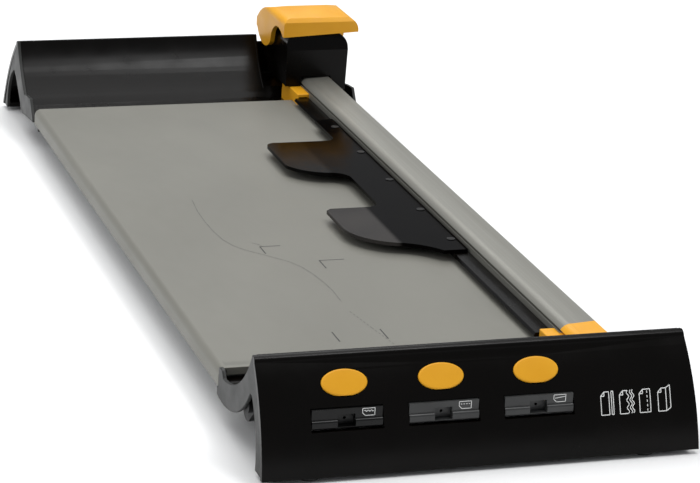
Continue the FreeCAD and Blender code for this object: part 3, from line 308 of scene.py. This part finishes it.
# ---------------------------------------------------------------------------------------------
# End caps: glossy black mouldings, each a curved outer shell and a hollow tray with dark satin end
# plates snapped on.  The rear one has a pocket that the cutting head is parked in.
# ---------------------------------------------------------------------------------------------
gloss_black = surface(
    "gloss_black", moulded, 1.0, (paint("#030201"), paint("#050302")), (0.20, 0.30), (0.04, 0.00006),
    Specular_IOR_Level=0.12)
satin_grey = surface(
    "satin_grey", spark, 1.0, (paint("#222322"), paint("#2E2F2E")), (0.40, 0.52), (0.16, 0.00004),
    Specular_IOR_Level=0.25)
CAP_ENDS = (0.5, 214.5)
POCKET_ENDS = (158, 213)
CAP_BEVEL, FINE_SHARE = 0.0020, 0.2


def fascia_share(x, y, z):
    """The whole bevel on the shell's two ends above its foot, and a fine one elsewhere."""
    return 1.0 if (x < CAP_ENDS[0] or x > CAP_ENDS[1]) and z > -15 else FINE_SHARE


def tray_share(x, y, z):
    """The whole bevel along the ridge, apart from the head's pocket, and a fine one elsewhere."""
    return 1.0 if z > 20 and not POCKET_ENDS[0] < x < POCKET_ENDS[1] else FINE_SHARE


for node in ("front_fascia", "rear_fascia"):
    dressed(node, gloss_black, CAP_BEVEL, 30, fascia_share)
for node in ("front_tray", "rear_tray"):
    dressed(node, gloss_black, CAP_BEVEL, 30, tray_share)
dressed("parking_pocket", gloss_black, 0.0005)
for node in ("front_end_left", "front_end_right", "rear_end_left", "rear_end_right"):
    dressed(node, satin_grey, 0.0009, 20)
rubber = surface(
    "black_rubber", spark, 1.0, (paint("#141414"), paint("#222222")), (0.65, 0.8), (0.3, 0.00006))
dressed("rubber_feet", rubber, 0.0004)

# ---------------------------------------------------------------------------------------------
# Spare cartridges: a black rack inside the front cap holds three of them, each a satin black housing
# round a steel wheel on its pin.  A yellow oval button on each bay pushes a nylon slide that ejects it.
# ---------------------------------------------------------------------------------------------
nylon = surface(
    "black_nylon", spark, 1.0, (paint("#060606"), paint("#0C0C0D")), (0.4, 0.55), (0.12, 0.00003),
    Specular_IOR_Level=0.2)
housing = surface(
    "housing_grey", spark, 1.3, (paint("#222323"), paint("#2E2F2F")), (0.34, 0.46), (0.10, 0.00003))
housing_dark = surface(
    "housing_black", spark, 1.3, (paint("#060606"), paint("#0B0B0B")), (0.26, 0.38), (0.08, 0.00003),
    Specular_IOR_Level=0.25)
yellow = surface(
    "warm_yellow", moulded, 1.4, (paint("#D8981C"), paint("#E0A222")), (0.38, 0.5), (0.05, 0.00005),
    Specular_IOR_Level=0.25)
dressed("cartridge_dock", nylon, 0.0003)
for kind in ("wave", "perforating", "creasing"):
    dressed(kind + "_cartridge", housing_dark if kind == "wave" else housing, 0.0003)
    dressed(kind + "_wheel", bare_steel, 0.0)
    dressed(kind + "_axle", bare_steel, 0.0001)
    dressed(kind + "_ejector", nylon, 0.0002)
    dressed(kind + "_button", yellow, 0.0003)

# ---------------------------------------------------------------------------------------------
# Printed signs: white outlines of a page, printed on the front cap and on each cartridge to show its
# cut.  The four on the cap are straight, waved, dashed and folded; each cartridge has its own page.
# ---------------------------------------------------------------------------------------------
white_ink = surface(
    "white_ink", ink_skin, 1.0, (paint("#D9DAD8"), paint("#EDEEEC")), (0.4, 0.55), INK_BUMP)
CAP_ARC = (6.5, -33.4, 90.8)
SIGN_X = (167.8, 177.4, 187.6, 197.2)
SIGN_LOW, SIGN_HIGH, SIGN_WIDE, FOLD = -5.0, 5.2, 4.2, 1.8
SIGN_LINE, GRIP_LINE = 0.38, 0.3
WAVES, WAVE_SIZE = 3, 0.55


def on_cap(flat):
    """Points (x, z) on the cap's outer arc, lifted by the ink's thickness along its normal."""
    y0, z0, radius = CAP_ARC
    grown = radius + INK_LIFT
    turn = np.arcsin((flat[:, 1] - z0) / radius)
    return np.column_stack([flat[:, 0], y0 - grown * np.cos(turn), z0 + grown * np.sin(turn)])


def page(x0, x1, z0, z1, fold):
    """A page's outline with its upper left corner folded over."""
    return [[(x1, z1), (x0 + fold, z1), (x0, z1 - fold), (x0, z0), (x1, z0)],
            [(x0 + fold, z1), (x0 + fold, z1 - fold), (x0, z1 - fold)]]


def zigzag(x, z0, z1, waves, size):
    """A vertical line that swings to either side as a sine of its height."""
    z = np.linspace(z0, z1, 8 * waves + 1)
    return np.column_stack([x + size * np.sin(np.linspace(0, 2 * math.pi * waves, len(z))), z])


def joined(lines, points=12):
    """Straight stretches of several points, so that a polyline's corners are sharp and it can bend."""
    return [np.linspace(line[i], line[i + 1], points) for line in lines for i in range(len(line) - 1)]


signs = []
for index, x in enumerate(SIGN_X):
    right = x + SIGN_WIDE
    sign = page(x, right, SIGN_LOW, SIGN_HIGH, FOLD)
    edge = [(right, SIGN_HIGH), (right, SIGN_LOW)]
    if index == 0:
        offcut = [(right + 1.2, 5.3), (right + 2.2, 5.4), (right + 2.2, -4.9), (right + 1.2, -5.0),
                  (right + 1.2, 5.3)]
        sign = joined(sign) + joined([edge, offcut])
    elif index == 1:
        sign = joined(sign) + [
            zigzag(right, SIGN_LOW, SIGN_HIGH, WAVES, WAVE_SIZE),
            zigzag(right + 1.6, SIGN_LOW, 5.4, WAVES, WAVE_SIZE),
            zigzag(right + 2.7, -4.9, 5.5, WAVES, WAVE_SIZE)]
    elif index == 2:
        stub = [(right, SIGN_LOW), (right + 1.4, -4.9), (right + 1.4, 5.3)]
        sign = joined([[(right + 1.4, 5.3)] + sign[0][1:], sign[1]]) + joined([stub])
        sign += dashes(((right - 0.2, 4.6), (right - 0.2, -4.4)), 5)
    else:
        leaf = [(right, SIGN_HIGH), (right + 2.2, 6.4), (right + 2.2, -3.6), (right, SIGN_LOW)]
        sign = joined(sign) + joined([edge, leaf])
    signs += sign
strips("cut_signs", signs, SIGN_LINE, on_cap, white_ink, "base")
CARTRIDGE_FACE = -57.6 - 19.0


def on_grip(flat):
    """Points (x, z) on the flat end of a cartridge, lifted by the ink's thickness."""
    return np.column_stack([flat[:, 0], np.full(len(flat), CARTRIDGE_FACE - INK_LIFT), flat[:, 1]])


for kind, centre in zip(("wave", "perforating", "creasing"), (41.5, 89.0, 136.5)):
    x0, x1, z0, z1 = centre + 7.4, centre + 13.4, 2.3, 5.9
    frame_lines = joined([[(x0 + 1.4, z0), (x1, z0), (x1, z1), (x0, z1), (x0, z0 + 1.4), (x0 + 1.4, z0)]])
    if kind == "wave":
        inner = [zigzag(0, x0 + 0.8, x1 - 0.6, 3, 0.35)[:, ::-1] + (0, 4.6)]
    elif kind == "perforating":
        inner = dashes(((x0 + 0.8, 4.6), (x1 - 0.6, 4.6)), 4)
    else:
        inner = [np.array([(x0 + 0.6, 4.2), (x1, 4.9)])]
    strips(kind + "_sign", frame_lines + inner, GRIP_LINE, on_grip, white_ink, kind + "_cartridge")

# ---------------------------------------------------------------------------------------------
# Rail and clamp: the head's rail is a satin anodised extrusion between two yellow end blocks.  Beside it
# a black clamp strip carries the press plate, which is smoked clear sheet, riveted on.  Its root by the
# rail
# and its rear wing are painted near black: painted shade under the rail and a painted dark reflection on
# the wing.  Springs hold both off the paper.
# ---------------------------------------------------------------------------------------------
dressed("guide_rail", anodised, 0.0005, 25)
for node in ("rail_bracket_front", "rail_bracket_rear"):
    dressed(node, yellow, 0.0006)
dressed("rail_bumpers", rubber, 0.0003)
dressed("clamp_strip", gloss_black, 0.0003)
dressed("clamp_pad", rubber, 0.0)
dressed("plate_rivets", nylon, 0.0001)
dressed("clamp_guide_pins", bare_steel, 0.0001)
CLEAR_SHARE = 0.35
# Spans, in the board's millimetres, across which the press plate is painted near black: painted shade along
# the root by the rail, and a painted dark reflection on the rear wing.
ROOT_SHADE_FADE = ("X", 139.0, 143.0)
REAR_WING_SHADE_FADE = ("Y", 200.0, 262.0)
smoked = surface(
    "smoked_clear", moulded, 1.0, (paint("#3A3837"), paint("#44413F")), (0.10, 0.20), (0.02, 0.00004),
    Transmission_Weight=CLEAR_SHARE, IOR=1.3, Specular_IOR_Level=0.05)
tree = smoked.node_tree
spot = tree.nodes.new("ShaderNodeTexCoord")
parts = tree.nodes.new("ShaderNodeSeparateXYZ")
tree.links.new(spot.outputs["Object"], parts.inputs[0])
shade = tree.nodes["Principled BSDF"]
tint = shade.inputs["Base Color"].links[0].from_socket
# Painted shade: across each span the plate's tint is mixed into near black (each mix node lays painted
# shade, not ink), and at the root its transmission falls to nothing, so that it reads as the shade under
# the rail.
for axis, start, end in (ROOT_SHADE_FADE, REAR_WING_SHADE_FADE):
    shade_ramp = tree.nodes.new("ShaderNodeMapRange")
    shade_ramp.interpolation_type = "SMOOTHSTEP"
    place = "XY".index(axis)
    shade_ramp.inputs["From Min"].default_value = placed((start, start, 0.0))[place]
    shade_ramp.inputs["From Max"].default_value = placed((end, end, 0.0))[place]
    tree.links.new(parts.outputs[axis], shade_ramp.inputs["Value"])
    ink = tree.nodes.new("ShaderNodeMix")
    ink.data_type = "RGBA"
    # The near black of the painted shade and painted reflection.
    ink.inputs["B"].default_value = paint("#050404")
    tree.links.new(shade_ramp.outputs[0], ink.inputs["Factor"])
    tree.links.new(tint, ink.inputs["A"])
    tint = ink.outputs["Result"]
    if axis == "X":
        clear = tree.nodes.new("ShaderNodeMapRange")
        clear.inputs["To Min"].default_value = CLEAR_SHARE
        clear.inputs["To Max"].default_value = 0.0
        tree.links.new(shade_ramp.outputs[0], clear.inputs["Value"])
        tree.links.new(clear.outputs[0], shade.inputs["Transmission Weight"])
tree.links.new(tint, shade.inputs["Base Color"])
dressed("press_plate", smoked, 0.0006)
for node in ("clamp_spring_front", "clamp_spring_rear"):
    dressed(node, bare_steel, 0.0)

# ---------------------------------------------------------------------------------------------
# Cutting head: a black hood on nylon shoes that slides along the rail, with a cartridge inside it and a
# yellow saddle grip on top that is pressed down against two springs.
# ---------------------------------------------------------------------------------------------
dressed("head_housing", gloss_black, 0.0010)
dressed("handle", yellow, 0.0016, 28)
for node in ("glide_left", "glide_right", "glide_top", "press_slider"):
    dressed(node, nylon, 0.0002)
for node in ("handle_spring_front", "handle_spring_rear", "cutting_blade"):
    dressed(node, bare_steel, 0.0)
dressed("cutting_axle", bare_steel, 0.0001)
dressed("cutting_cartridge", housing, 0.0003)

# ---------------------------------------------------------------------------------------------
# Setting: a pale floor, soft light from above, behind, the left and the front, and the camera.
# ---------------------------------------------------------------------------------------------
floor_mesh = bpy.data.meshes.new("floor")
floor_mesh.from_pydata([(-4, -4, 0), (4, -4, 0), (4, 6, 0), (-4, 6, 0)], [], [(0, 1, 2, 3)])
floor = bpy.data.objects.new("floor", floor_mesh)
bpy.context.scene.collection.objects.link(floor)
floor_paint = bpy.data.materials.new("pale_floor")
floor_paint.use_nodes = True
floor_paint.node_tree.nodes["Principled BSDF"].inputs["Base Color"].default_value = (0.86, 0.86, 0.86, 1)
floor_paint.node_tree.nodes["Principled BSDF"].inputs["Roughness"].default_value = 0.9
floor_mesh.materials.append(floor_paint)

world = bpy.data.worlds.new("studio")
world.use_nodes = True
world.node_tree.nodes["Background"].inputs["Color"].default_value = (0.95, 0.97, 1.0, 1)
world.node_tree.nodes["Background"].inputs["Strength"].default_value = 0.4
bpy.context.scene.world = world
bpy.context.scene.view_settings.view_transform = "Standard"

LAMPS = (
    ("top_softbox", (-0.2, 0.5, 2.6), (0, 0.1, 0), 2.6, 58),
    ("rear_softbox", (0.4, 2.6, 2.5), (0, 0, 0.1), 1.8, 24),
    ("front_softbox", (0.7, -0.85, 2.3), (0, 0.25, 0.03), 0.6, 15),
    ("left_softbox", (-2.6, -0.6, 1.5), (0, 0, 0.0), 1.6, 22))
for name, at, aim, size, power in LAMPS:
    lamp = bpy.data.lights.new(name, "AREA")
    lamp.shape = "SQUARE"
    lamp.size = size
    lamp.energy = power
    holder = bpy.data.objects.new(name, lamp)
    holder.location = at
    holder.rotation_mode = "QUATERNION"
    holder.rotation_quaternion = (Vector(aim) - Vector(at)).to_track_quat("-Z", "Y")
    bpy.context.scene.collection.objects.link(holder)

eye = bpy.data.cameras.new("camera")
eye.sensor_width = 36.0
eye.lens = 146.76
camera = bpy.data.objects.new("camera", eye)
right = Vector((0.95465, -0.29389, 0.04762))
up = Vector((0.04976, 0.31518, 0.94772))
back = -Vector((0.29354, 0.90238, -0.31552))
camera.matrix_world = Matrix.Translation(Vector(placed((-341.3, -1244.4, 496.4)))) @ Matrix(
    (right, up, back)).transposed().to_4x4()
bpy.context.scene.collection.objects.link(camera)
bpy.context.scene.camera = camera
